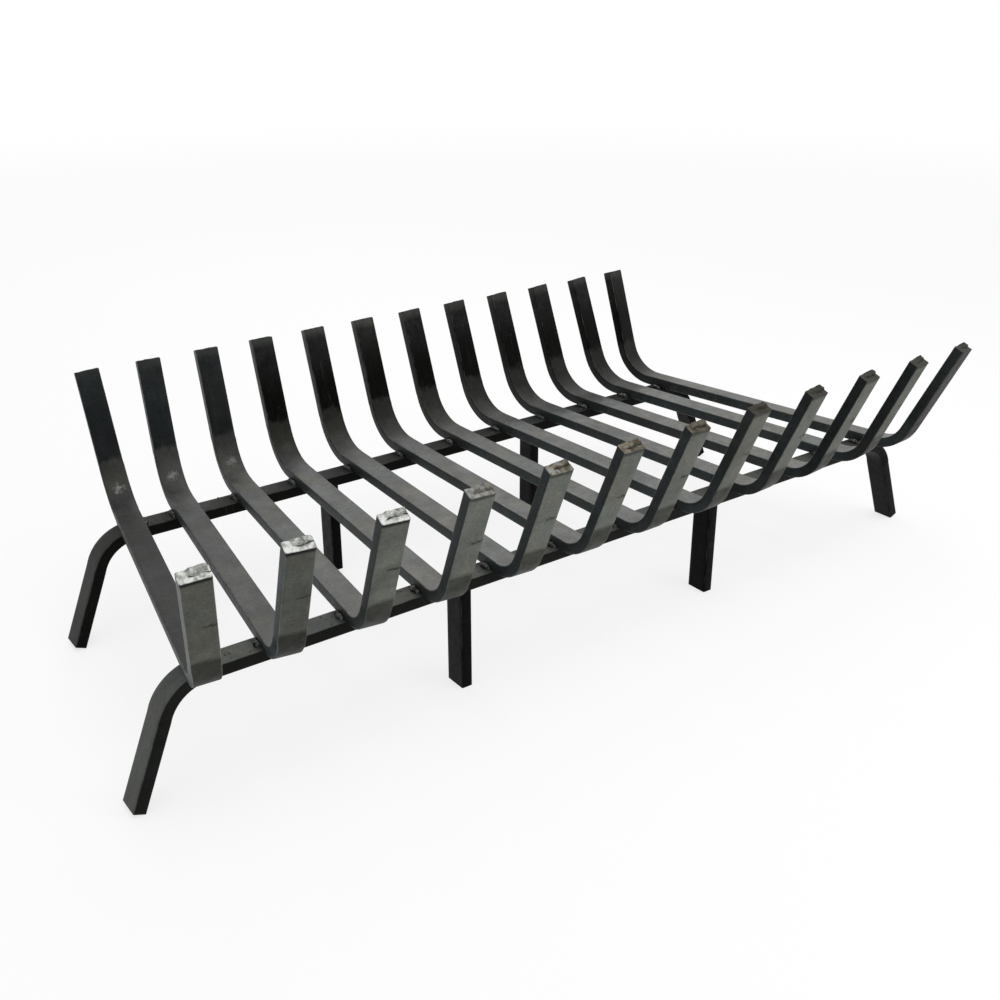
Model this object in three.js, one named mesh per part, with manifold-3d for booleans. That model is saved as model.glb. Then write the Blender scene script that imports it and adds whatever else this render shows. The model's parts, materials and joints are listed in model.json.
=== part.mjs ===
// A tapered log grate: twelve bent flat bars welded across two rails whose ends bend down
// into splayed legs, with four straight legs between them. Millimetres, Z up, floor at Z = 0,
// front at -Y, left end at -X.
import * as THREE from "three";
import { mergeVertices } from "three/addons/utils/BufferGeometryUtils.js";
import Module from "manifold-3d";

const wasm = await Module();
wasm.setup();

// ---------------------------------------------------------------- driving dimensions
const stockWidth = 25.4; // flat bar, wide face
const stockThickness = 12; // flat bar, narrow face
const edgeRound = 0.9; // eased edge of the flat bar

const barCount = 12;
const logBedHeight = 131.5; // floor to the top face of the bars
const railSpacing = 298; // front face of one rail to front face of the other
const frontPitch = 81.7; // bar to bar over the front rail
const rearPitch = 71.5; // bar to bar over the rear rail

const frontTipReach = 93; // outer corner of the front tip, ahead of the front rail
const frontTipRise = 123; // the same corner, above the bars' top face
const frontLean = 23; // degrees off upright, towards the front
const frontBendRadius = 32; // inside of the bend

const rearTipReach = 96; // outer corner of the rear tip, behind the rear rail
const rearTipRise = 127; // the same corner, above the bars' top face
const rearLean = 20.3; // degrees off upright, towards the rear
const rearBendRadius = 49; // inside of the bend

const endBarInset = 11; // the end bars sit this far inside the even pitch
const endBarRoll = 4.4; // degrees: the end bars tip outwards on the rails' shoulders

const frontShoulderOverlap = 6; // the end bar's centre line, past the start of the shoulder bend
const rearShoulderOverlap = 1;
const shoulderRadius = 50.8; // outside of the bend from rail to leg
const legSplay = 21.8; // degrees off upright

const midLegPitches = 2.06; // straight legs stand this many pitches either side of centre

const beadLeg = 6.5; // weld bead, up the bar and out along the rail
const beadRun = 17; // its length along the bar
const beadLobes = 3; // overlapping puddles in one bead

const weldGap = 0.3; // clearance where a tilted or turned piece meets its neighbour
const arcSteps = 16; // flats to one bend

// ---------------------------------------------------------------- derived
const radians = Math.PI / 180;
const railTop = logBedHeight - stockThickness;
const railBottom = railTop - stockThickness;
const halfDepth = (railSpacing + stockWidth) / 2;
const frontRailY = -halfDepth; // front face of the front rail
const rearRailY = frontRailY + railSpacing; // front face of the rear rail
const frontRailMid = frontRailY + stockWidth / 2;
const rearRailMid = rearRailY + stockWidth / 2;
const taper = (frontPitch - rearPitch) / railSpacing; // pitch lost per millimetre of depth

// Distance from the centre to the end bar's centre line, and so to the start of each shoulder.
const endBarAt = (pitch) => ((barCount - 1) / 2) * pitch - endBarInset;
const frontRailStraight = endBarAt(frontPitch) - frontShoulderOverlap;
const rearRailStraight = endBarAt(rearPitch) - rearShoulderOverlap;

const grate = new THREE.Group();
grate.name = "log_grate";

// One material per stock, so that each piece reads as its own finish.
function steel(color, roughness, metalness) {
  return new THREE.MeshStandardMaterial({ color, roughness, metalness });
}

const barSteel = steel(0x5c6163, 0.55, 0.75);
const railSteel = steel(0x3a3c3d, 0.65, 0.65);
const legSteel = steel(0x333536, 0.65, 0.65);
const weldSteel = steel(0x77756f, 0.45, 0.85);

function add(name, geometry, material) {
  const mesh = new THREE.Mesh(geometry, material.clone());
  mesh.name = name;
  grate.add(mesh);
  return mesh;
}

// Points of an arc about (cx, cy), from one angle to another, both ends included.
function arc(cx, cy, radius, from, to) {
  const points = [];
  for (let i = 0; i <= arcSteps; i += 1) {
    const angle = from + ((to - from) * i) / arcSteps;
    points.push([cx + radius * Math.cos(angle), cy + radius * Math.sin(angle)]);
  }
  return points;
}

// Closed outline of points, swept through a width with eased long edges.
// The outline's plane becomes (u, Z) and the sweep is centred on the third axis.
function sweep(points, width) {
  const shape = new THREE.Shape(points.map(([u, v]) => new THREE.Vector2(u, v)));
  const geometry = new THREE.ExtrudeGeometry(shape, {
    depth: width - 2 * edgeRound,
    steps: 1,
    curveSegments: 1,
    bevelEnabled: true,
    bevelThickness: edgeRound,
    bevelSize: edgeRound,
    bevelOffset: -edgeRound,
    bevelSegments: 1,
  });
  geometry.translate(0, 0, edgeRound - width / 2);
  return geometry;
}

// ---------------------------------------------------------------- bars
// Side view of one end of a bar: from the flat bed through the bend to the tip.
// u grows towards that end; v is height above the underside of the bed.
// Returns the upper and the lower line, both running from the bed to the tip.
function barEnd(tipU, tipV, leanDegrees, insideRadius) {
  const lean = leanDegrees * radians;
  const turn = Math.PI / 2 - lean;
  const outsideRadius = insideRadius + stockThickness;
  const centreV = outsideRadius;
  const run = Math.sin(lean);
  const rise = Math.cos(lean);
  const straight = (tipV - centreV + outsideRadius * Math.cos(turn)) / rise;
  const centreU = tipU - outsideRadius * Math.sin(turn) - straight * run;
  const start = -Math.PI / 2;
  const lower = arc(centreU, centreV, outsideRadius, start, start + turn);
  const upper = arc(centreU, centreV, insideRadius, start, start + turn);
  const reach = ([u, v]) => [u + straight * run, v + straight * rise];
  lower.push(reach(lower[arcSteps]));
  upper.push(reach(upper[arcSteps]));
  return { upper, lower };
}

// A whole bar in its own frame: Y along the bar from the front rail's front face,
// Z up from the underside of the bed, X across.
function barGeometry(stretch) {
  const front = barEnd(
    frontTipReach * stretch,
    frontTipRise + stockThickness,
    frontLean,
    frontBendRadius,
  );
  const rear = barEnd(
    (railSpacing + stockWidth + rearTipReach) * stretch,
    rearTipRise + stockThickness,
    rearLean,
    rearBendRadius,
  );
  const ahead = (line) => line.map(([u, v]) => [-u, v]);
  const outline = [
    ...rear.lower,
    ...rear.upper.reverse(),
    ...ahead(front.upper),
    ...ahead(front.lower).reverse(),
  ];
  const geometry = sweep(outline, stockWidth);
  geometry.rotateX(Math.PI / 2);
  geometry.rotateZ(Math.PI / 2);
  return geometry;
}

for (let i = 0; i < barCount; i += 1) {
  const fromCentre = i - (barCount - 1) / 2;
  const side = Math.sign(fromCentre);
  const isEnd = i === 0 || i === barCount - 1;
  const fan = Math.atan(taper * fromCentre);
  const bar = add(
    "grate_bar_" + String(i + 1).padStart(2, "0"),
    barGeometry(1 / Math.cos(fan)),
    barSteel,
  );
  const overRail = frontPitch + (taper * stockWidth) / 2; // pitch at the rail's front face
  bar.rotation.order = "ZYX";
  bar.rotation.z = fan;
  bar.position.set(fromCentre * overRail, frontRailY, railTop);
  if (isEnd) {
    bar.rotation.y = side * endBarRoll * radians;
    bar.position.x -= side * endBarInset;
    bar.position.z += weldGap;
  }
}

// ---------------------------------------------------------------- rails with their end legs
// Front view of a rail: half of it, from the centre out and down to the square-cut foot.
function railHalf(straightHalf) {
  const splay = legSplay * radians;
  const turn = Math.PI / 2 - splay;
  const insideRadius = shoulderRadius - stockThickness;
  const centreZ = railTop - shoulderRadius;
  const top = Math.PI / 2;
  const outer = arc(straightHalf, centreZ, shoulderRadius, top, top - turn);
  const inner = arc(straightHalf, centreZ, insideRadius, top, top - turn);
  const length = inner[arcSteps][1] / Math.cos(splay); // the foot's inner corner meets the floor
  const reach = ([x, z]) => [
    x + length * Math.sin(splay),
    z - length * Math.cos(splay),
  ];
  outer.push(reach(outer[arcSteps]));
  inner.push(reach(inner[arcSteps]));
  return { outer, inner };
}

function railGeometry(straightHalf) {
  const { outer, inner } = railHalf(straightHalf);
  const mirrored = (line) => line.map(([x, z]) => [-x, z]);
  const outline = [
    ...outer,
    ...[...inner].reverse(),
    ...mirrored(inner),
    ...mirrored(outer).reverse(),
  ];
  const geometry = sweep(outline.reverse(), stockWidth);
  geometry.rotateX(Math.PI / 2);
  return geometry;
}

add("front_rail", railGeometry(frontRailStraight), railSteel).position.y = frontRailMid;
add("rear_rail", railGeometry(rearRailStraight), railSteel).position.y = rearRailMid;

// ---------------------------------------------------------------- straight legs
function midLegGeometry() {
  const half = stockThickness / 2;
  const outline = [
    [-half, 0],
    [half, 0],
    [half, railBottom],
    [-half, railBottom],
  ];
  const geometry = sweep(outline, stockWidth);
  geometry.rotateX(Math.PI / 2);
  return geometry;
}

const legPlaces = [];
for (const [row, y, pitch] of [
  ["front", frontRailMid, frontPitch],
  ["rear", rearRailMid, rearPitch],
]) {
  for (const [hand, side] of [
    ["left", -1],
    ["right", 1],
  ]) {
    const x = side * midLegPitches * pitch;
    const leg = add(row + "_mid_leg_" + hand, midLegGeometry(), legSteel);
    leg.position.set(x, y, 0);
    legPlaces.push({ name: row + "_" + hand, x, y });
  }
}

// ---------------------------------------------------------------- weld beads
// A closed three.js geometry as a solid that can be joined and cut.
function solid(geometry) {
  geometry.deleteAttribute("normal");
  geometry.deleteAttribute("uv");
  const merged = mergeVertices(geometry, 1e-4);
  return new wasm.Manifold(
    new wasm.Mesh({
      numProp: 3,
      vertProperties: merged.attributes.position.array,
      triVerts: new Uint32Array(merged.index.array),
    }),
  );
}

// A run of overlapping puddles in a corner: flat on X = 0 and on Z = 0, lying at +X and +Z,
// its length along Y.
function beadGeometry() {
  const lobeLength = (1.6 * beadRun) / beadLobes;
  const stepAlong = (beadRun - lobeLength) / (beadLobes - 1);
  const corner = new THREE.BoxGeometry(2 * beadLeg, 2 * beadRun, 2 * beadLeg);
  corner.translate(beadLeg, 0, beadLeg);
  let bead = null;
  for (let i = 0; i < beadLobes; i += 1) {
    const along = (lobeLength - beadRun) / 2 + i * stepAlong;
    const swell = 1 - 0.12 * (i % 2);
    const lobe = new THREE.SphereGeometry(1, 12, 6);
    lobe.scale(beadLeg * swell, lobeLength / 2, beadLeg * swell);
    lobe.translate(0, along, 0);
    const lobeSolid = solid(lobe);
    bead = bead ? bead.add(lobeSolid) : lobeSolid;
  }
  const mesh = bead.intersect(solid(corner)).getMesh();
  const geometry = new THREE.BufferGeometry();
  geometry.setAttribute("position", new THREE.BufferAttribute(mesh.vertProperties, 3));
  geometry.setIndex(new THREE.BufferAttribute(mesh.triVerts, 1));
  return geometry;
}

const bead = beadGeometry();

// Beads beside every bar on each rail: on the bar's left, and on the inside of the left end bar.
for (const [row, y, pitch] of [
  ["front", frontRailMid, frontPitch],
  ["rear", rearRailMid, rearPitch],
]) {
  for (let i = 0; i < barCount; i += 1) {
    const fromCentre = i - (barCount - 1) / 2;
    const isEnd = i === 0 || i === barCount - 1;
    const facing = i === 0 ? 1 : -1;
    const inset = isEnd ? Math.sign(fromCentre) * endBarInset : 0;
    const fan = Math.atan(taper * fromCentre);
    const away = (stockWidth / 2 + weldGap) / Math.cos(fan) + (isEnd ? 2 * weldGap : 0);
    const weld = add(
      row + "_bar_weld_" + String(i + 1).padStart(2, "0"),
      bead.clone(),
      weldSteel,
    );
    weld.rotation.z = fan + (facing < 0 ? Math.PI : 0);
    weld.position.set(fromCentre * pitch - inset + facing * away, y, railTop);
  }
}

// Beads under the rails, on the outer side of each straight leg.
for (const { name, x, y } of legPlaces) {
  const side = Math.sign(x);
  const weld = add(name + "_leg_weld", bead.clone(), weldSteel);
  weld.rotation.set(Math.PI, 0, side < 0 ? Math.PI : 0);
  weld.position.set(x + side * (stockThickness / 2), y, railBottom);
}

export default grate;
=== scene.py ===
import json
import math
from types import SimpleNamespace

import bpy
import numpy as np
from mathutils import Euler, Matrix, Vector, noise

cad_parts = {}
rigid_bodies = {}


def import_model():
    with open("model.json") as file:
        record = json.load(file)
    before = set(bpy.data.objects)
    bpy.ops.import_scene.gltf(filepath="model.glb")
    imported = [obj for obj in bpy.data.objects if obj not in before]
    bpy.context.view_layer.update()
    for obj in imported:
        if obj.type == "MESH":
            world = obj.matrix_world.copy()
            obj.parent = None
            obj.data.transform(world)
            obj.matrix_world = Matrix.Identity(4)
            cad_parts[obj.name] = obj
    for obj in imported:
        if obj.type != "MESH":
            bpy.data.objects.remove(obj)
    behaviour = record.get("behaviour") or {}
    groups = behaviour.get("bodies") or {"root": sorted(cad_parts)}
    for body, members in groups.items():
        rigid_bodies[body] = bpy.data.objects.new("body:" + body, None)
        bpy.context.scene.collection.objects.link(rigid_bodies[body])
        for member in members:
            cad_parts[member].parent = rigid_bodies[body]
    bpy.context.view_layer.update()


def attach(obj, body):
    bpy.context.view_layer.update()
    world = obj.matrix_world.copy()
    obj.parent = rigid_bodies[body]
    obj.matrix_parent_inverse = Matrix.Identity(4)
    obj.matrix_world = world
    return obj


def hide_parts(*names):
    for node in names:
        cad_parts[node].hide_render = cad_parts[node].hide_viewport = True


for thing in list(bpy.data.objects):
    bpy.data.objects.remove(thing)
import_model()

# ---------------------------------------------------------------- sizes, in metres and degrees
WIDTH = 0.0254  # flat bar, wide face
THICK = 0.012  # flat bar, narrow face
EDGE = 0.0010  # its rolled edge
BARS = 12
BED = 0.1315  # floor to the top face of the bars
SPACING = 0.298  # front face of one rail to front face of the other
FRONT_PITCH, REAR_PITCH = 0.0817, 0.0715  # between neighbouring bars, over each rail
# reach past the rail's outer face, rise above the bed, lean from upright, inner bend radius
FRONT_END = {"reach": 0.093, "rise": 0.123, "lean": 23, "inside": 0.032}
REAR_END = {"reach": 0.096, "rise": 0.127, "lean": 20.3, "inside": 0.049}
END_INSET, END_ROLL = 0.011, 4.4  # the two end bars sit further in and tip outwards
RAIL_STRAIGHT = {"front": 0.43235, "rear": 0.38125}  # half of each rail's straight run
SHOULDER = 0.0508  # outer bend radius of the rails
SPLAY = 21.8  # end legs, from upright
MID_LEG_PITCHES = 2.06  # straight legs, from the middle
BEAD_LEG, BEAD_RUN = 0.0065, 0.017  # weld bead, across and along its corner
GAP = 0.0003  # end bars above the rails' shoulders, and beads beside the bars
SWELL = 0.0004  # how far the wide face draws in on the outside of a full bend
FULL_BEND = 15  # radians per metre at which a bend counts as full
STEP = 0.004  # between stations along a straight run
BEND_STEPS = 30

RAIL_TOP = BED - THICK
RAIL_BOTTOM = RAIL_TOP - THICK
HALF_DEPTH = (SPACING + WIDTH) / 2
FRONT_MID, REAR_MID = -HALF_DEPTH + WIDTH / 2, HALF_DEPTH - WIDTH / 2
TAPER = (FRONT_PITCH - REAR_PITCH) / SPACING
MIDDLE_BAR = (BARS - 1) / 2
ROWS = (("front", FRONT_MID, FRONT_PITCH), ("rear", REAR_MID, REAR_PITCH))
HANDS = (("left", -1), ("right", 1))
ALONG_Y = np.array([0.0, 1.0, 0.0])

# what a strip carries at each of its points, besides its seed, its heat and its looks
STRIP_DATA = ("along", "far", "across", "wide", "top", "edge", "cut", "crack", "ridge")


# ---------------------------------------------------------------- swept flat bar
def section(width, thick):
    """Ring round a flat bar: (across, through, wide, top, edge) for each point."""
    points = []
    corners = [(1, 1, 0), (-1, 1, 90), (-1, -1, 180), (1, -1, 270)]
    corner_step, corner_end_wear = 30, 0.35
    for index, (sx, sz, start) in enumerate(corners):
        cx, cz = sx * (width / 2 - EDGE), sz * (thick / 2 - EDGE)
        for k in range(4):
            angle = math.radians(start + corner_step * k)
            wide = abs(math.sin(angle)) ** 2
            point = (cx + EDGE * math.cos(angle), cz + EDGE * math.sin(angle))
            points.append((*point, wide, float(sz > 0), 1.0 if k in (1, 2) else corner_end_wear))
        nx, nz, _ = corners[(index + 1) % 4]
        ex, ez = nx * (width / 2 - EDGE), nz * (thick / 2 - EDGE)
        along_wide = index in (0, 2)
        parts = 6 if along_wide else 3
        last = points[-1]
        goal = (ex, last[1]) if along_wide else (last[0], ez)
        for k in range(1, parts):
            share = k / parts
            x = last[0] + (goal[0] - last[0]) * share
            z = last[1] + (goal[1] - last[1]) * share
            points.append((x, z, float(along_wide), float(z > 0), 0.0))
    return np.array(points)


def torn_end(seed, width, thick, size):
    """A sheared end as a thin plate: (across, out, through) points, faces, fissure and ridge.

    The cut side of the shear is a smooth band at the outer face. The rest tore off as a rough
    ridge, with a fissure between the two. The band's edge overhangs the outer face a little.
    """

    def rough(a, b, scale, shift):
        return noise.noise(Vector((a * scale + seed * 13.7, b * scale + shift, seed * 5.1 + shift)))

    def ramp(value, low, high):
        share = min(max((value - low) / (high - low), 0.0), 1.0)
        return share * share * (3 - 2 * share)

    columns, rows, corner = 56, 26, 0.0012
    proud, overhang = 0.00004, 0.00030
    level, ridge_height, fissure_depth, border_drop = 0.00035, 0.0021, 0.0010, 0.0005
    least_out = 0.00005
    start = -0.70 + 0.6 * abs(rough(0.3, 0.1, 1.0, 2.0))
    stop = 1.02 - 0.3 * abs(rough(0.9, 0.4, 1.0, 5.0))
    points, fissure, ridge = [], [], []
    for j in range(rows + 1):
        v = 2 * j / rows - 1
        for i in range(columns + 1):
            w = 2 * i / columns - 1
            lip = overhang * ramp(-v, 0.2, 1.0) * (1 + 0.9 * rough(w, 0.0, 3.0, 9.0)) * size
            x, z = w * (width / 2 + proud), v * (thick / 2 + proud) - lip
            over_x = abs(x) - (width / 2 - corner)
            over_z = abs(z) - (thick / 2 - corner)
            if over_x > 0 and over_z > 0 and math.hypot(over_x, over_z) > corner:
                pull = corner / math.hypot(over_x, over_z)
                x = math.copysign(width / 2 - corner + over_x * pull, x)
                z = math.copysign(thick / 2 - corner + over_z * pull, z)
            line = -0.10 + 0.30 * rough(w, 0.0, 1.6, 1.0) + 0.08 * rough(w, 0.0, 5.0, 3.0)
            inside = ramp(-w, start, start + 0.30) * (1 - ramp(-w, stop - 0.10, stop))
            up = inside * ramp(v, line + 0.02, line + 0.20)
            up *= 0.72 + 0.38 * ramp(-w, -0.4, 0.9) + 0.50 * rough(w, v * 0.5, 2.4, 4.0)
            up += 0.16 * inside * rough(w, v * 0.5, 8.0, 6.0)
            crack = ramp(-w, start - 0.02, start + 0.18) * math.exp(-(((v - line) / 0.11) ** 2))
            crack *= 0.85 + 0.6 * rough(w, v, 2.6, 8.0)
            border = 1 - ramp(1 - max(abs(w) * 0.985, abs(v) * 0.96), 0.02, 0.12)
            out = level + ridge_height * up - fissure_depth * crack - border_drop * border
            out += 0.00030 * rough(w, v * 0.5, 3.0, 7.0) + 0.00012 * rough(w, v * 0.5, 12.0, 7.5)
            points.append((x, max(out * size, least_out), z))
            fissure.append(min(max(crack, 0.0), 1.0))
            ridge.append(min(max(up, 0.0), 1.0))
    faces = []
    across_count = columns + 1
    for j in range(rows):
        for i in range(columns):
            a = j * across_count + i
            faces.append((a, a + 1, a + 1 + across_count, a + across_count))
    rim = list(range(columns)) + [columns + j * across_count for j in range(rows)]
    rim += [rows * across_count + i for i in range(columns, 0, -1)]
    rim += [j * across_count for j in range(rows, 0, -1)]
    skirt = ((-0.0007, 0.00010), (-0.0009, 0.0008))  # (place behind the end, how far drawn in)
    for drop, shrink in skirt:
        first = len(points)
        for k in rim:
            x, _, z = points[k]
            x -= math.copysign(min(shrink, abs(x)), x)
            z -= math.copysign(min(shrink, abs(z)), z)
            points.append((x, drop, z))
            fissure.append(1.0)
            ridge.append(0.0)
        fresh = list(range(first, len(points)))
        for k in range(len(rim)):
            n = (k + 1) % len(rim)
            faces.append((rim[k], fresh[k], fresh[n], rim[n]))
        rim = fresh
    return points, faces, fissure, ridge


def mesh_object(name, verts, faces, attributes):
    mesh = bpy.data.meshes.new(name)
    mesh.from_pydata([tuple(v) for v in verts], [], faces)
    mesh.validate()
    for key, values in attributes.items():
        made = mesh.attributes.new(key, "FLOAT", "POINT")
        made.data.foreach_set("value", np.asarray(values, np.float32))
    mesh.polygons.foreach_set("use_smooth", [True] * len(mesh.polygons))
    mesh.update()
    thing = bpy.data.objects.new(name, mesh)
    bpy.context.scene.collection.objects.link(thing)
    return thing


def sweep(name, centre, normal, across, seed, burr=(0, 0)):
    """A flat bar along a centre line, closed at both ends.

    normal is each station's direction through the bar, and across is the fixed direction of its
    wide face. burr is how rough the first and the last end were sheared, or 0 for a sawn end.
    """
    ring = section(WIDTH, THICK)
    run = np.r_[0, np.cumsum(np.linalg.norm(np.diff(centre, axis=0), axis=1))]
    total = run[-1]
    count, sides = len(centre), len(ring)
    turn = np.linalg.norm(np.diff(normal, axis=0), axis=1)
    bend = np.r_[turn, 0] / np.maximum(np.r_[np.diff(run), 1], 1e-6)
    bend = np.clip(np.maximum(bend, np.r_[0, bend[:-1]]) / FULL_BEND, 0, 1)
    verts, data = [], {key: [] for key in STRIP_DATA}

    def put(s, point, x, wide=0.0, top=0.0, edge=0.0, cut=1.0, crack=0.0, ridge=0.0):
        verts.append(point)
        for key, value in zip(STRIP_DATA, (s, total - s, x, wide, top, edge, cut, crack, ridge)):
            data[key].append(value)

    for i in range(count):
        swell = bend[i] * SWELL
        for x, z, wide, top, edge in ring:
            pull = 1 - swell / (WIDTH / 2) * (1 if z < 0 else -1)
            put(run[i], centre[i] + across * x * pull + normal[i] * z, x, wide, top, edge, 0.0)
    faces = []
    for i in range(count - 1):
        for k in range(sides):
            a, b = i * sides + k, i * sides + (k + 1) % sides
            faces.append((a, b, b + sides, a + sides))
    for end, station, size in ((0, 0, burr[0]), (1, count - 1, burr[1])):
        tangent = centre[1] - centre[0] if end == 0 else centre[-1] - centre[-2]
        tangent = tangent / np.linalg.norm(tangent) * (-1 if end == 0 else 1)
        first = len(verts)
        for k in range(sides):
            put(run[station], verts[station * sides + k], ring[k][0])
        loop = tuple(range(first, first + sides))
        faces.append(loop[::-1] if end == 0 else loop)
        if size:
            first = len(verts)
            plate, plate_faces, fissure, ridge = torn_end(seed + end, WIDTH, THICK, size)
            for (x, out, z), crack, up in zip(plate, fissure, ridge):
                point = centre[station] + across * x + normal[station] * z + tangent * out
                put(run[station], point, x, crack=crack, ridge=up)
            for face in plate_faces:
                face = tuple(first + k for k in face)
                faces.append(face if end == 0 else face[::-1])
    verts = np.array(verts)
    data["seed"] = np.full(len(verts), seed % 1.0)
    return name, verts, faces, data


# ---------------------------------------------------------------- centre lines
def arc(cx, cz, radius, start, end):
    """Points of an arc, and the directions from its centre to them."""
    angles = np.linspace(start, end, BEND_STEPS + 1)
    points = np.stack([cx + radius * np.cos(angles), cz + radius * np.sin(angles)], 1)
    return points, np.stack([np.cos(angles), np.sin(angles)], 1)


def straight(start, end, include_end=True):
    """Points after start and up to end, about a step apart."""
    steps = max(2, round(float(np.linalg.norm(end - start)) / STEP))
    share = np.linspace(0, 1, steps + 1)[1 : None if include_end else -1, None]
    return start + (end - start) * share


def bar_end(tip_u, tip_v, lean, inside):
    """Centre line and log-side normals of one end of a bar, from its bed out to its tip."""
    lean = math.radians(lean)
    turn = math.pi / 2 - lean
    outside = inside + THICK
    rise = (tip_v - outside + outside * math.cos(turn)) / math.cos(lean)
    centre_u = tip_u - outside * math.sin(turn) - rise * math.sin(lean)
    points, out = arc(centre_u, outside, inside + THICK / 2, -math.pi / 2, -math.pi / 2 + turn)
    tip = points[-1] + rise * np.array([math.sin(lean), math.cos(lean)])
    more = straight(points[-1], tip)
    normals = np.vstack([-out, np.repeat(-out[-1:], len(more), 0)])
    return np.vstack([points, more]), normals


def bar_line(stretch):
    """Centre line and normals of a bar in its own (y, z), from the front tip to the rear tip."""
    f, r = FRONT_END, REAR_END
    front, front_n = bar_end(f["reach"] * stretch, f["rise"] + THICK, f["lean"], f["inside"])
    depth = SPACING + WIDTH + r["reach"]
    rear, rear_n = bar_end(depth * stretch, r["rise"] + THICK, r["lean"], r["inside"])
    flip = np.array([-1, 1])
    front, front_n = (front * flip)[::-1], (front_n * flip)[::-1]
    bed = straight(front[-1], rear[0], include_end=False)
    bed_n = np.repeat([[0.0, 1.0]], len(bed), 0)
    return np.vstack([front, bed, rear]), np.vstack([front_n, bed_n, rear_n])


def rail_line(half):
    """Centre line and upper normals of a rail in (x, z), from its left foot to its right foot."""
    splay = math.radians(SPLAY)
    turn = math.pi / 2 - splay
    centre_z = RAIL_TOP - SHOULDER
    points, out = arc(half, centre_z, SHOULDER - THICK / 2, math.pi / 2, math.pi / 2 - turn)
    inner_z = centre_z + (SHOULDER - THICK) * math.sin(splay)
    length = inner_z / math.cos(splay)
    down = np.array([math.sin(splay), -math.cos(splay)])
    leg = straight(points[-1], points[-1] + down * length)
    right = np.vstack([points, leg])
    right_n = np.vstack([out, np.repeat(out[-1:], len(leg), 0)])
    flip = np.array([-1, 1])
    left, left_n = (right * flip)[::-1], (right_n * flip)[::-1]
    top = straight(left[-1], right[0], include_end=False)
    top_n = np.repeat([[0.0, 1.0]], len(top), 0)
    return np.vstack([left, top, right]), np.vstack([left_n, top_n, right_n])


def lift(line, axis, offset):
    """(u, z) rows as 3-D rows with u on that axis and the other horizontal axis at offset."""
    rows = np.zeros((len(line), 3))
    rows[:, axis] = line[:, 0]
    rows[:, 1 - axis] = offset
    rows[:, 2] = line[:, 1]
    return rows


# ---------------------------------------------------------------- where the beads are
def bead_places():
    """(node, corner point, turn about Z, under the rail) for every bead."""
    places = []
    for row, y, pitch in ROWS:
        for i in range(BARS):
            k = i - MIDDLE_BAR
            end = i in (0, BARS - 1)
            facing = 1 if i == 0 else -1
            inset = math.copysign(END_INSET, k) if end else 0
            fan = math.atan(TAPER * k)
            away = (WIDTH / 2 + GAP) / math.cos(fan) + (2 * GAP if end else 0)
            spot = (k * pitch - inset + facing * away, y, RAIL_TOP)
            turn = fan + (math.pi if facing < 0 else 0)
            places.append((f"{row}_bar_weld_{i + 1:02d}", spot, turn, False))
        for hand, side in HANDS:
            x = side * (MID_LEG_PITCHES * pitch + THICK / 2)
            turn = math.pi if side < 0 else 0
            places.append((f"{row}_{hand}_leg_weld", (x, y, RAIL_BOTTOM), turn, True))
    return places


BEADS = bead_places()
BEAD_POINTS = np.array([spot for _, spot, _, _ in BEADS])
HEAT_REACH = 0.016
HEAT_SHAPE = [1.0, 0.75, 1.0]  # heat spreads a little further from front to back


def heat_near(verts):
    """1 at a weld bead, falling away within a few centimetres."""
    nearest = np.full(len(verts), 1.0)
    for spot in BEAD_POINTS:
        gap = np.linalg.norm((verts - spot) * HEAT_SHAPE, axis=1)
        nearest = np.minimum(nearest, gap)
    return np.exp(-((nearest / HEAT_REACH) ** 2))


# ---------------------------------------------------------------- the steel pieces
# bed, front, side: painted shade and painted light on the log side, the outer side and the
# narrow sides; soot: paler dark rear ends, lighter bend shade, a stronger painted
# shadow under the cut end and a clear mark in the rear bend; scald: dark zone over the rear
# rail; rust, dull: cut end
PLAIN_LOOKS = {
    "bed": 1.0,
    "front": 1.0,
    "side": 1.0,
    "soot": 0.0,
    "scald": 0.0,
    "rust": 0.0,
    "dull": 0.0,
}
# painted shade: the rear rail is darkened all over
RAIL_SHADES = {"front": 1.0, "rear": 0.45}
RAIL_SEEDS = {"front": 0.31, "rear": 0.77}
BAR_BURR = (1.0, 0.3)


def finish_strip(made, cad_node, slot, **looks):
    """Mesh, CAD node and material slot of one strip; looks that aren't given are plain. The slot is
    not used.
    """
    name, verts, faces, data = made
    data["heat"] = heat_near(verts)
    for key, plain in PLAIN_LOOKS.items():
        data[key] = np.full(len(verts), looks.get(key, plain))
    piece = mesh_object(name, verts, faces, data)
    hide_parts(cad_node)
    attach(piece, "root")
    return piece


def hump(value, middle, width):
    return math.exp(-(((value - middle) / width) ** 2))


def bar_marks_and_painted_light(i):
    """The photographed bars differ from left to right, so their looks follow the bar's number. The
    bed, front and side tones are painted shade and painted light: darker log sides on the first
    bars, darker outer sides on the first and last bars, a painted highlight on the first bars'
    narrow sides and painted shade on those towards the right end.
    """
    return {
        "bed": 1 - 0.75 * math.exp(-i / 1.8) + 0.15 * hump(i, 10, 2.0),
        "front": 1 - 0.45 * hump(i, 0.6, 1.1) - 0.95 / (1 + math.exp((10.5 - i) / 0.35)),
        "side": 1 + 2.0 * hump(i, 0.0, 0.9) - 0.5 * hump(i, 9.5, 2.0),
        "soot": max(1.0 - 0.1 * i, 0.25) if i < 3 else 0.25,
        "scald": hump(i, 8.5, 2.6),
        "rust": hump(i, 5.5, 2.2),
        "dull": 0.6 * min(max(i - 2, 0.0), 1.0) + 0.4 * min(max((i - 5) / 2, 0.0), 1.0),
    }


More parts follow.
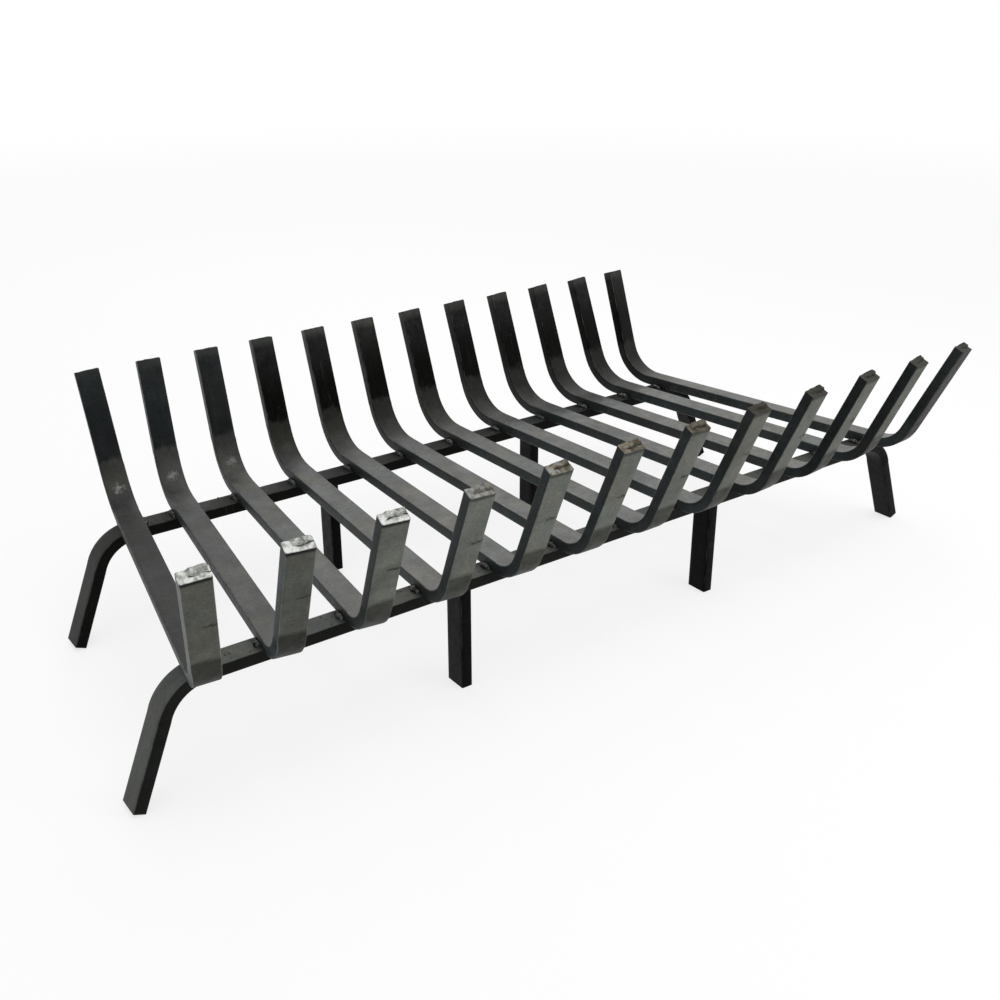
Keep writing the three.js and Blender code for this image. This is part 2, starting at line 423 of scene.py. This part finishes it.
def bent_bar(i):
    """One bar of the fan, turned about Z, and rolled outwards if it is an end bar."""
    k = i - MIDDLE_BAR
    side = math.copysign(1, k)
    end = i in (0, BARS - 1)
    fan = math.atan(TAPER * k)
    line, line_n = bar_line(1 / math.cos(fan))
    roll = math.radians(END_ROLL) * side if end else 0
    turn = np.array(Euler((0, 0, fan)).to_matrix() @ Euler((0, roll, 0)).to_matrix())
    x = k * (FRONT_PITCH + TAPER * WIDTH / 2) - (side * END_INSET if end else 0)
    place = np.array([x, -HALF_DEPTH, RAIL_TOP + (GAP if end else 0)])
    centre = lift(line, 1, 0) @ turn.T + place
    normal = lift(line_n, 1, 0) @ turn.T
    seed = 0.137 * (i + 1)
    return sweep(f"bent_bar_{i + 1:02d}", centre, normal, -turn[:, 0], seed, BAR_BURR)


def bent_rail(row, y):
    """A rail and its two end legs, bent from one bar."""
    line, line_n = rail_line(RAIL_STRAIGHT[row])
    name = f"{row}_rail_and_end_legs"
    return sweep(name, lift(line, 0, y), lift(line_n, 0, 0), ALONG_Y, RAIL_SEEDS[row])


def straight_leg(row, y, hand, x):
    """An upright leg between the floor and a rail's underside."""
    line = np.vstack([[x, 0], straight(np.array([x, 0.0]), np.array([x, RAIL_BOTTOM]))])
    normal = np.repeat([[-1.0, 0.0, 0.0]], len(line), 0)
    return sweep(f"{row}_{hand}_straight_leg", lift(line, 0, y), normal, ALONG_Y, 0.2 + x)


bars, rails, legs = [], [], []
for i in range(BARS):
    bars.append(finish_strip(bent_bar(i), f"grate_bar_{i + 1:02d}", "bar_steel", **bar_marks_and_painted_light(i)))
for row, y, _ in ROWS:
    tone = RAIL_SHADES[row]
    made = bent_rail(row, y)
    rails.append(finish_strip(made, f"{row}_rail", "rail_steel", bed=tone, front=tone, side=tone))
for row, y, pitch in ROWS:
    for hand, side in HANDS:
        made = straight_leg(row, y, hand, side * MID_LEG_PITCHES * pitch)
        legs.append(finish_strip(made, f"{row}_mid_leg_{hand}", "leg_steel"))

# ---------------------------------------------------------------- weld beads
FIRST_BEAD_SEED = 100


def bead_mesh(seed):
    """A lumpy fillet in the corner X = 0, Z = 0, its length along Y, with closed ends."""
    rng = np.random.default_rng(seed)
    stations, spread = 56, 14
    end_gap = 0.94  # share of the run that the bead fills
    verts, faces, ripple_of = [], [], []
    tail = rng.uniform(-0.5, 0.5)
    puddles = rng.uniform(4.5, 6.5)
    for i in range(stations + 1):
        share = i / stations
        taper = max(0.03, 1 - abs(2 * share - 1) ** 2.6) ** 0.5
        lump = noise.noise(Vector((share * 3.3 + seed, seed * 0.37, 0.0)))
        puddle = (share * puddles + 0.35 * lump) % 1
        ripple = 1 - 0.07 * (2 * abs(puddle - 0.5)) ** 2
        size = BEAD_LEG * taper * ripple * (0.90 + 0.22 * lump) * (1 + tail * 0.35 * (share - 0.5))
        y = (share - 0.5) * BEAD_RUN * end_gap
        verts.append((0.0, y, 0.0))
        ripple_of.append(0.5)
        for k in range(spread + 1):
            angle = math.pi / 2 * k / spread
            body = 0.74 + 0.16 * math.sin(2 * angle)
            wobble = 1 + 0.13 * noise.noise(Vector((share * 7 + seed, angle * 2.2, seed * 0.7)))
            wobble += 0.05 * noise.noise(Vector((share * 24 + seed, angle * 7, seed * 0.3)))
            r = size * body * wobble
            bow = 0.0009 * math.sin(2 * angle)  # each ripple trails back in the middle
            verts.append((r * math.cos(angle), y - bow, r * math.sin(angle)))
            ripple_of.append(0.86 + 0.14 * (1 - 2 * abs(puddle - 0.5)) + 0.10 * lump)
    ring = spread + 2
    for i in range(stations):
        for k in range(ring):
            a, b = i * ring + k, i * ring + (k + 1) % ring
            faces.append((a, a + ring, b + ring, b))
    faces.append(tuple(range(ring)))
    faces.append(tuple(range(stations * ring + ring - 1, stations * ring - 1, -1)))
    for _ in range(int(rng.integers(4, 9))):
        add_drop(verts, faces, ripple_of, rng)
    return np.array(verts), faces, ripple_of


def add_drop(verts, faces, ripple_of, rng):
    """A spatter drop, half sunk in the rail beside the bead."""
    size = rng.uniform(0.0004, 0.0009)
    at = np.array([rng.uniform(0.006, 0.017), rng.uniform(-0.010, 0.010), size * 0.25])
    first, around, tall = len(verts), 8, 5
    verts.append(tuple(at + [0, 0, size]))
    for j in range(1, tall):
        polar = math.pi * j / tall
        flat, up = math.sin(polar) * size, math.cos(polar) * size
        for k in range(around):
            turn = 2 * math.pi * k / around
            verts.append(tuple(at + [flat * math.cos(turn), flat * math.sin(turn), up]))
    verts.append(tuple(at - [0, 0, size]))
    last = len(verts) - 1
    ripple_of.extend([1.0] * (last - first + 1))
    for k in range(around):
        n = (k + 1) % around
        faces.append((first, first + 1 + k, first + 1 + n))
        base = first + 1 + (tall - 2) * around
        faces.append((last, base + n, base + k))
        for j in range(tall - 2):
            a = first + 1 + j * around
            faces.append((a + k, a + around + k, a + around + n, a + n))


welds = []
for index, (node, spot, turn, under) in enumerate(BEADS):
    verts, faces, ripple_of = bead_mesh(FIRST_BEAD_SEED + index)
    if under:
        verts = verts * [1, 1, -1]
        faces = [f[::-1] for f in faces]
    rotation = np.array(Euler((0, 0, turn)).to_matrix())
    verts = verts @ rotation.T + np.array(spot)
    name = node.replace("_weld", "_bead")
    piece = mesh_object(name, verts, faces, {"ripple": ripple_of})
    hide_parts(node)
    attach(piece, "root")
    welds.append(piece)


# ---------------------------------------------------------------- colours and shader nodes
WHITE = (1, 1, 1, 1)


def linear(value):
    """Linear level of a 0-255 screen value."""
    v = value / 255
    return v / 12.92 if v <= 0.04045 else ((v + 0.055) / 1.055) ** 2.4


def grey(value, warm=0.0):
    """Linear colour of a grey screen value, warmed or cooled a little."""
    v = linear(value)
    return (v * (1 + warm), v * (1 + warm * 0.35), v * (1 - warm), 1.0)


def tint(red, green, blue):
    """Linear colour of three screen values."""
    return (linear(red), linear(green), linear(blue), 1.0)


class Tree:
    """Short names for the shader nodes that the steel needs."""

    def __init__(self, name):
        self.material = bpy.data.materials.new(name)
        self.material.use_nodes = True
        self.tree = self.material.node_tree
        self.tree.nodes.clear()
        self.output = self.tree.nodes.new("ShaderNodeOutputMaterial")
        self.shader = self.tree.nodes.new("ShaderNodeBsdfPrincipled")
        self.tree.links.new(self.shader.outputs[0], self.output.inputs["Surface"])

    def feed(self, socket, value):
        if isinstance(value, bpy.types.NodeSocket):
            self.tree.links.new(value, socket)
        else:
            socket.default_value = value

    def attribute(self, name):
        node = self.tree.nodes.new("ShaderNodeAttribute")
        node.attribute_name = name
        return node.outputs["Fac"]

    def place(self):
        return self.tree.nodes.new("ShaderNodeTexCoord").outputs["Object"]

    def math(self, operation, a, b=0.0):
        node = self.tree.nodes.new("ShaderNodeMath")
        node.operation = operation
        self.feed(node.inputs[0], a)
        self.feed(node.inputs[1], b)
        return node.outputs[0]

    def plus(self, a, b):
        return self.math("ADD", a, b)

    def minus(self, a, b):
        return self.math("SUBTRACT", a, b)

    def times(self, *values):
        product = values[0]
        for value in values[1:]:
            product = self.math("MULTIPLY", product, value)
        return product

    def combine(self, x, y, z):
        node = self.tree.nodes.new("ShaderNodeCombineXYZ")
        for socket, value in zip(node.inputs, (x, y, z)):
            self.feed(socket, value)
        return node.outputs[0]

    def noise(self, vector, scale, detail=4.0, rough=0.55, distortion=0.0):
        node = self.tree.nodes.new("ShaderNodeTexNoise")
        self.feed(node.inputs["Vector"], vector)
        for key, value in (("Scale", scale), ("Detail", detail), ("Roughness", rough)):
            node.inputs[key].default_value = value
        node.inputs["Distortion"].default_value = distortion
        return node.outputs["Fac"]

    def cells(self, vector, scale):
        node = self.tree.nodes.new("ShaderNodeTexVoronoi")
        self.feed(node.inputs["Vector"], vector)
        node.inputs["Scale"].default_value = scale
        return node.outputs["Distance"]

    def span(self, value, low, high, to_low=0.0, to_high=1.0, smooth=True):
        """value, low to high, as to_low to to_high: a soft step, and clamped at both ends."""
        node = self.tree.nodes.new("ShaderNodeMapRange")
        node.interpolation_type = "SMOOTHSTEP" if smooth else "LINEAR"
        self.feed(node.inputs["Value"], value)
        keys = ("From Min", "From Max", "To Min", "To Max")
        for key, number in zip(keys, (low, high, to_low, to_high)):
            self.feed(node.inputs[key], number)
        return node.outputs["Result"]

    def fade(self, value, low, high):
        """1 below low and 0 above high."""
        return self.span(value, low, high, 1.0, 0.0)

    def line(self, value, low, high, to_low, to_high):
        """The span without its soft step."""
        return self.span(value, low, high, to_low, to_high, smooth=False)

    def mix(self, share, a, b, blend="MIX"):
        node = self.tree.nodes.new("ShaderNodeMix")
        node.data_type = "RGBA"
        node.blend_type = blend
        self.feed(node.inputs["Factor"], share)
        self.feed(node.inputs["A"], a)
        self.feed(node.inputs["B"], b)
        return node.outputs["Result"]

    def scale(self, colour, amount):
        node = self.tree.nodes.new("ShaderNodeVectorMath")
        node.operation = "SCALE"
        self.feed(node.inputs[0], colour)
        self.feed(node.inputs["Scale"], amount)
        return node.outputs[0]

    def bump(self, height, strength, distance):
        node = self.tree.nodes.new("ShaderNodeBump")
        node.inputs["Strength"].default_value = strength
        node.inputs["Distance"].default_value = distance
        self.feed(node.inputs["Height"], height)
        return node.outputs[0]


# ---------------------------------------------------------------- steel
# places along a strip in metres, as (nearer, farther): "along" is from its first tip, a bar's
# front one or a rail's left foot, and "far" is from its last tip
FRONT_UPRIGHT = (0.120, 0.165)  # along: outer side of the front upright ends
UNDER_BEND_STARTS, UNDER_BEND_ENDS = (0.098, 0.106), (0.160, 0.190)  # along
SIDE_TONE_ENDS = (0.125, 0.175)  # along: where the narrow sides' painted shade and light ends
DARK_TIP_LIMIT = (0.094, 0.103)  # far: where the darker rear upright ends stop
BEND_SHADE_ENDS = (0.120, 0.215)  # far: shade of the rear bend ends
SCALD_STARTS, SCALD_ENDS = (0.158, 0.186), (0.200, 0.226)  # far: zone over the rear rail
DARK_TIP_PALER, DARK_TIP_EDGE = (0.0, 0.072), (0.002, 0.014)  # far: where the darker ends turn paler towards the tip, and at its edge
CUT_SHADOW_SPAN = (0.0026, 0.0058)  # along: painted shadow line under the front cut end's lip
CREASE_AT = 0.062  # along
RUB_AT, RUB_OFFSET, RUB_HALF = 0.1345, 0.0010, (0.0075, 0.0062)  # far: mark in the rear bend
LEFT_LEG_ENDS, RIGHT_LEG_ENDS = (0.10, 0.17), (0.10, 0.19)  # along and far, on a rail
# painted light on a rail's left end leg and painted shade on its right one
END_LEG_LIGHT_AND_SHADE = (1.08, 0.12)  # tone of a rail's left and right end legs
BAR_WEAR, RAIL_WEAR = 0.20, 0.12  # how bright the worn edges are


def strip_fields(t):
    """What the strips carry at each point, and the noises that the steel is made of."""
    names = ("seed", "along", "far", "across", "wide", "top", "edge", "cut", "heat", "bed")
    f = SimpleNamespace(**{name: t.attribute(name) for name in names})
    f.place = t.place()
    f.own = t.combine(f.across, t.times(f.along, 0.09), f.seed)
    f.cloud = t.noise(f.place, 30, 4.0, 0.55, 0.3)
    f.patch = t.noise(f.place, 112, 5.0, 0.62, 0.2)
    f.fleck = t.noise(f.place, 430, 4.0, 0.66)
    f.grain = t.noise(f.place, 1700, 2.0, 0.6)
    f.streak = t.noise(f.own, 230, 4.0, 0.6)
    f.hue = t.noise(f.place, 21, 3.0, 0.5)
    return f


def bar_fields(t, f):
    """The fields that only the bars have."""
    f.inner = t.times(f.top, f.wide)
    f.outer = t.times(t.minus(1.0, f.top), f.wide)
    f.soot = t.attribute("soot")
    ragged = t.plus(f.far, t.line(f.patch, 0.2, 0.8, -0.006, 0.006))
    f.dark = t.fade(ragged, *DARK_TIP_LIMIT)
    f.bend_shade = t.fade(f.far, *BEND_SHADE_ENDS)


def bend_shade_and_marks(t, f, colour):
    """Front upright's paler outer side, painted shade over the rear upright and bend, scald over
    the rear rail, a darker outer side under the front bend, and darker rear ends with streaks of
    painted sheen.
    """
    front = t.fade(f.along, *FRONT_UPRIGHT)
    colour = t.mix(t.times(front, f.outer), colour, tint(101, 103, 96))
    # painted shade over the rear upright and bend, lighter on the first bars
    bend_share = t.times(f.bend_shade, t.span(f.soot, 0.5, 1.0, 0.94, 0.72))
    colour = t.mix(bend_share, colour, tint(27, 27, 24))
    over_rail = t.plus(f.far, t.line(f.patch, 0.2, 0.8, -0.009, 0.009))
    scald = t.times(t.span(over_rail, *SCALD_STARTS), t.fade(over_rail, *SCALD_ENDS))
    scald = t.times(scald, t.attribute("scald"), f.inner)
    colour = t.mix(t.times(scald, 0.60), colour, tint(34, 37, 36))
    start = t.plus(f.along, t.line(f.cloud, 0.3, 0.7, -0.003, 0.003))
    under_bend = t.times(
        t.span(start, *UNDER_BEND_STARTS), t.fade(f.along, *UNDER_BEND_ENDS), f.outer
    )
    under_bend = t.times(under_bend, t.span(f.patch, 0.3, 0.7, 0.72, 0.96))
    colour = t.mix(under_bend, colour, tint(47, 48, 42))
    # painted sheen: warmer streaks across the darker rear ends
    sheen = t.span(f.streak, 0.45, 0.75)
    dark_tip_colour = t.mix(t.times(sheen, 0.6), tint(4, 4, 3), tint(22, 19, 16))
    # the darker rear ends turn paler towards the tip, at its edge and on the first bars
    near_tip = t.times(t.fade(f.far, *DARK_TIP_PALER), t.span(f.patch, 0.3, 0.7, 0.5, 1.0))
    dark_tip_colour = t.mix(near_tip, dark_tip_colour, tint(32, 33, 32))
    dark_tip_colour = t.mix(t.span(f.far, *DARK_TIP_EDGE, 0.8, 0.0), dark_tip_colour, tint(56, 57, 54))
    dark_tip_colour = t.mix(t.span(f.soot, 0.5, 1.0, 0.0, 0.55), dark_tip_colour, tint(46, 50, 51))
    return t.mix(f.dark, colour, dark_tip_colour)


def mill_tone(t, f):
    """How light the mill scale is, from clouds down to its grain."""
    tone = t.line(f.cloud, 0.3, 0.7, 0.80, 1.18)
    tone = t.times(tone, t.line(f.patch, 0.3, 0.7, 0.80, 1.19))
    tone = t.times(tone, t.line(f.fleck, 0.3, 0.7, 0.84, 1.16))
    tone = t.times(tone, t.line(f.grain, 0.25, 0.75, 0.90, 1.10))
    return t.times(tone, t.line(f.streak, 0.3, 0.7, 0.94, 1.06))


def bar_painted_light(t, f):
    """A bar's painted shade and painted light on its log side, its outer side and its narrow sides,
    set bar by bar; less of it in the rear bend, and on the narrow sides only along the front
    upright.
    """
    bed = t.line(f.bend_shade, 0.0, 1.6, f.bed, 1.0)
    flat_tone = t.line(f.top, 0.0, 1.0, t.attribute("front"), bed)
    side = t.span(f.along, *SIDE_TONE_ENDS, t.attribute("side"), 1.0)
    return t.line(f.wide, 0.0, 1.0, side, flat_tone)


def weathered(t, f, colour):
    """Cooler and warmer clouds, scuffs, pits, a little rust and heat tint beside the welds."""
    colour = t.mix(t.span(f.hue, 0.42, 0.62, 0.0, 0.22), colour, (0.80, 0.97, 1.0, 1), "MULTIPLY")
    colour = t.mix(t.span(f.hue, 0.55, 0.36, 0.0, 0.35), colour, (1.0, 0.96, 0.86, 1), "MULTIPLY")
    scuffs = t.span(t.noise(f.own, 300, 6.0, 0.72, 0.3), 0.60, 0.72)
    colour = t.mix(t.times(scuffs, 0.10), colour, grey(120))
    pits = t.fade(f.fleck, 0.30, 0.38)
    colour = t.mix(t.times(pits, 0.35), colour, tint(30, 31, 29))
    rust = t.span(t.noise(f.place, 150, 5.0, 0.7), 0.62, 0.74)
    colour = t.mix(t.times(rust, 0.22), colour, tint(92, 76, 58))
    brown = t.span(t.plus(f.heat, t.span(f.patch, 0, 1, -0.2, 0.2)), 0.25, 0.55)
    blue = t.span(t.plus(f.heat, t.span(f.patch, 0, 1, -0.15, 0.15)), 0.60, 0.85)
    colour = t.mix(t.times(brown, 0.45), colour, (0.036, 0.029, 0.022, 1))
    return t.mix(t.times(blue, 0.45), colour, (0.018, 0.021, 0.028, 1))


def marks_and_cut_shadow(t, f, colour, height):
    """Crease on the front upright, painted shadow under the lip of its cut end, and rubbed mark in
    the rear bend.
    """
    level = t.plus(CREASE_AT, t.times(f.seed, 0.006))
    wavy = t.times(t.noise(f.place, 190, 4.0, 0.65), 0.012)
    off = t.math("ABSOLUTE", t.minus(t.plus(f.along, wavy), level))
    reach = t.fade(t.plus(f.across, t.span(f.patch, 0, 1, -0.006, 0.006)), -0.004, 0.002)
    crease = t.times(t.fade(off, 0.0, 0.0020), f.outer, reach)
    smudge = t.times(t.fade(off, 0.0, 0.0065), f.outer, t.span(f.patch, 0.4, 0.6))
    colour = t.mix(t.times(smudge, 0.30), colour, tint(62, 60, 54))
    colour = t.mix(t.times(crease, 0.85), colour, tint(30, 29, 27))
    # painted shadow: a dark line under the cut end's lip, stronger on the first bars
    cut_shadow = t.times(t.fade(f.along, *CUT_SHADOW_SPAN), f.outer)
    cut_shadow = t.times(cut_shadow, t.span(f.soot, 0.0, 1.0, 0.50, 0.92))
    colour = t.mix(cut_shadow, colour, tint(15, 16, 15))
    rub_run = t.math("DIVIDE", t.minus(f.far, RUB_AT), RUB_HALF[0])
    rub_side = t.math("DIVIDE", t.plus(f.across, RUB_OFFSET), RUB_HALF[1])
    ring = t.plus(t.math("POWER", rub_run, 2.0), t.math("POWER", rub_side, 2.0))
    ring = t.plus(ring, t.span(t.noise(f.place, 230, 4.0, 0.7), 0.25, 0.75, -1.1, 1.1))
    rub = t.times(t.fade(ring, -0.3, 1.3), f.inner, f.soot, f.soot)
    colour = t.mix(t.times(rub, 0.42), colour, grey(140, 0.03))
    height = t.minus(height, t.times(crease, 1.5))
    return colour, t.minus(height, t.times(rub, 1.2))


def sheared_face(t, f):
    """Cut end of a bar: bright band and torn ridge, dark fissure, rust on the middle bars."""
    torn = t.noise(f.place, 210, 4.0, 0.55)
    rust_noise = t.span(t.noise(f.place, 170, 3.0), 0.3, 0.7, -0.35, 0.35)
    rusty = t.span(t.plus(t.attribute("rust"), rust_noise), 0.15, 0.85)
    band = t.mix(t.span(torn, 0.36, 0.60), tint(140, 142, 138), tint(190, 192, 188))
    lump = t.mix(t.span(torn, 0.36, 0.60), tint(100, 102, 98), tint(156, 158, 153))
    face = t.mix(t.attribute("ridge"), band, lump)
    stain = t.mix(t.span(torn, 0.38, 0.62), tint(84, 70, 52), tint(150, 140, 120))
    face = t.mix(t.times(rusty, 0.85), face, stain)
    fissure = t.times(t.span(t.attribute("crack"), 0.25, 0.75), 0.92)
    face = t.mix(fissure, face, tint(34, 28, 22))
    face = t.mix(t.times(t.attribute("dull"), 0.95), face, tint(46, 44, 38))
    rear_cut = t.span(f.along, 0.2, 0.3)
    return t.mix(t.times(rear_cut, 0.85), face, tint(52, 53, 52))


def steel(name, wide_tone, narrow_tone, is_bar):
    """Hot-rolled flat bar: blotchy mill scale, worn edges, heat tint, bend marks and cut ends, with
    painted shade and painted light on some faces.
    """
    t = Tree(name)
    f = strip_fields(t)
    # painted shade: darker narrow sides on bars and rails, and the legs' near-black wide sides
    colour = t.mix(f.wide, narrow_tone, wide_tone)
    tone = mill_tone(t, f)
    if is_bar:
        bar_fields(t, f)
        colour = bend_shade_and_marks(t, f, colour)
        tone = t.times(tone, bar_painted_light(t, f))
    else:
        # painted shade of the rear rail, then painted light and shade on the end legs
        tone = t.times(tone, f.bed)
        tone = t.times(tone, t.span(f.along, *LEFT_LEG_ENDS, END_LEG_LIGHT_AND_SHADE[0], 1.0))
        tone = t.times(tone, t.span(f.far, *RIGHT_LEG_ENDS, END_LEG_LIGHT_AND_SHADE[1], 1.0))
    colour = weathered(t, f, t.scale(colour, tone))
    worn = t.times(t.span(f.edge, 0.4, 1.0), t.span(t.noise(f.place, 70, 5.0, 0.7), 0.40, 0.66))
    colour = t.mix(t.times(worn, BAR_WEAR if is_bar else RAIL_WEAR), colour, grey(128, -0.01))
    height = t.plus(t.times(f.grain, 0.3), t.times(f.fleck, 0.5))
    height = t.plus(height, t.times(f.patch, 0.8))
    rough = t.minus(t.line(f.patch, 0.3, 0.7, 0.50, 0.64), t.times(worn, 0.08))
    if is_bar:
        colour, height = marks_and_cut_shadow(t, f, colour, height)
        face = sheared_face(t, f)
        rough = t.minus(rough, t.times(f.dark, 0.10))
    else:
        face = t.mix(t.span(f.fleck, 0.35, 0.65), grey(30), grey(60))
    t.feed(t.shader.inputs["Base Color"], t.mix(f.cut, colour, face))
    t.feed(t.shader.inputs["Roughness"], rough)
    t.shader.inputs["Metallic"].default_value = 0.80
    t.shader.inputs["Specular IOR Level"].default_value = 0.12
    t.feed(t.shader.inputs["Normal"], t.bump(height, 0.55, 0.0005))
    return t.material


def weld_metal():
    """Weld bead: brighter ripples, brown and blue between them, glassy dark flecks."""
    t = Tree("weld_metal")
    place = t.place()
    patch = t.noise(place, 260, 4.0, 0.6)
    ripple = t.plus(t.attribute("ripple"), t.span(patch, 0, 1, -0.12, 0.12))
    colour = t.mix(t.span(ripple, 0.86, 1.02), (0.020, 0.017, 0.014, 1), grey(84, 0.03))
    bluing = t.span(t.noise(place, 90, 2.0), 0.45, 0.62, 0.0, 0.5)
    colour = t.mix(bluing, colour, (0.030, 0.036, 0.050, 1))
    flecks = t.fade(t.cells(place, 900), 0.0, 0.22)
    colour = t.mix(t.times(flecks, 0.6), colour, grey(24))
    t.feed(t.shader.inputs["Base Color"], colour)
    t.feed(t.shader.inputs["Roughness"], t.span(patch, 0.3, 0.7, 0.34, 0.54))
    t.shader.inputs["Metallic"].default_value = 0.9
    t.feed(t.shader.inputs["Normal"], t.bump(patch, 0.3, 0.0005))
    return t.material


def dress(things, material):
    for thing in things:
        thing.data.materials.clear()
        thing.data.materials.append(material)


# rails and legs are the same steel as the bars; their darker colours are painted shade
dress(bars, steel("bar_scale_and_shade", tint(105, 105, 103), tint(50, 54, 54), True))
dress(rails, steel("rail_scale_and_shade", tint(70, 72, 69), tint(24, 25, 23), False))
dress(legs, steel("leg_scale_and_shade", tint(15, 16, 15), tint(28, 28, 28), False))
dress(welds, weld_metal())

# ---------------------------------------------------------------- floor, world, lamps, camera
FLOOR_RADIUS, FLOOR_SIDES, FLOOR_DROP = 40.0, 96, 0.0004
WHITENS_FROM, WHITE_FROM = 0.9, 4.5  # distances from the grate
NEAR_WHITENESS = 0.74  # how white the floor beside the grate is shown, whatever its shade
WORLD_LIGHT = 0.62


def shown_ray(tree):
    """1 for rays from the camera and for those that gloss or glass sends on."""
    path = tree.nodes.new("ShaderNodeLightPath")
    seen = path.outputs["Is Camera Ray"]
    for kind in ("Is Glossy Ray", "Is Transmission Ray"):
        either = tree.nodes.new("ShaderNodeMath")
        either.operation = "MAXIMUM"
        tree.links.new(seen, either.inputs[0])
        tree.links.new(path.outputs[kind], either.inputs[1])
        seen = either.outputs[0]
    return seen


def pale_floor():
    """A matt floor that takes shadows and turns white with distance."""
    t = Tree("pale_floor")
    t.shader.inputs["Base Color"].default_value = (0.90, 0.90, 0.90, 1)
    t.shader.inputs["Roughness"].default_value = 0.9
    t.shader.inputs["Specular IOR Level"].default_value = 0.1
    white = t.tree.nodes.new("ShaderNodeEmission")
    white.inputs["Color"].default_value = WHITE
    white.inputs["Strength"].default_value = 1.0
    over = t.tree.nodes.new("ShaderNodeMixShader")
    outward = t.tree.nodes.new("ShaderNodeVectorMath")
    outward.operation = "LENGTH"
    t.feed(outward.inputs[0], t.place())
    distance = outward.outputs["Value"]
    whiteness = t.span(distance, WHITENS_FROM, WHITE_FROM, NEAR_WHITENESS, 1.0)
    t.feed(over.inputs[0], t.times(shown_ray(t.tree), whiteness))
    t.feed(over.inputs[1], t.shader.outputs[0])
    t.feed(over.inputs[2], white.outputs[0])
    t.feed(t.output.inputs["Surface"], over.outputs[0])
    return t.material


angles = np.linspace(0, 2 * math.pi, FLOOR_SIDES + 1)[:-1]
rim = [(FLOOR_RADIUS * math.cos(a), FLOOR_RADIUS * math.sin(a), 0.0) for a in angles]
floor = mesh_object("floor", rim, [tuple(range(FLOOR_SIDES))], {})
floor.location.z = -FLOOR_DROP
dress([floor], pale_floor())

world = bpy.data.worlds.new("studio")
bpy.context.scene.world = world
world.use_nodes = True
sky = world.node_tree
sky.nodes.clear()
shown, lit = sky.nodes.new("ShaderNodeBackground"), sky.nodes.new("ShaderNodeBackground")
for background, strength in ((shown, 1.0), (lit, WORLD_LIGHT)):
    background.inputs["Color"].default_value = WHITE
    background.inputs["Strength"].default_value = strength
blend = sky.nodes.new("ShaderNodeMixShader")
sky.links.new(shown_ray(sky), blend.inputs[0])
sky.links.new(lit.outputs[0], blend.inputs[1])
sky.links.new(shown.outputs[0], blend.inputs[2])
out = sky.nodes.new("ShaderNodeOutputWorld")
sky.links.new(blend.outputs[0], out.inputs["Surface"])


def area_lamp(name, place, target, size, power):
    data = bpy.data.lights.new(name, "AREA")
    data.shape = "RECTANGLE"
    data.size, data.size_y = size
    data.energy = power
    lamp = bpy.data.objects.new(name, data)
    lamp.location = place
    lamp.rotation_euler = (Vector(target) - Vector(place)).to_track_quat("-Z", "Y").to_euler()
    bpy.context.scene.collection.objects.link(lamp)


area_lamp("key", (0.2, -0.5, 2.3), (0, 0, 0.1), (2.2, 1.8), 26)
area_lamp("fill", (1.2, -1.9, 1.2), (0, 0, 0.1), (1.4, 1.0), 8)
area_lamp("back", (0.6, 2.0, 1.6), (0, 0, 0.15), (1.6, 0.8), 9)

# the photograph's camera, fitted so that the grate's outline falls on the photographed one
camera_data = bpy.data.cameras.new("camera")
camera_data.lens = 43.52
camera_data.sensor_width = 36
camera_data.clip_end = 200
camera = bpy.data.objects.new("camera", camera_data)
camera.location = (-0.7491, -1.0077, 0.6689)
camera.rotation_euler = (math.radians(65.66), 0, math.radians(-36.29))
bpy.context.scene.collection.objects.link(camera)
bpy.context.scene.camera = camera
bpy.context.scene.view_settings.view_transform = "Standard"
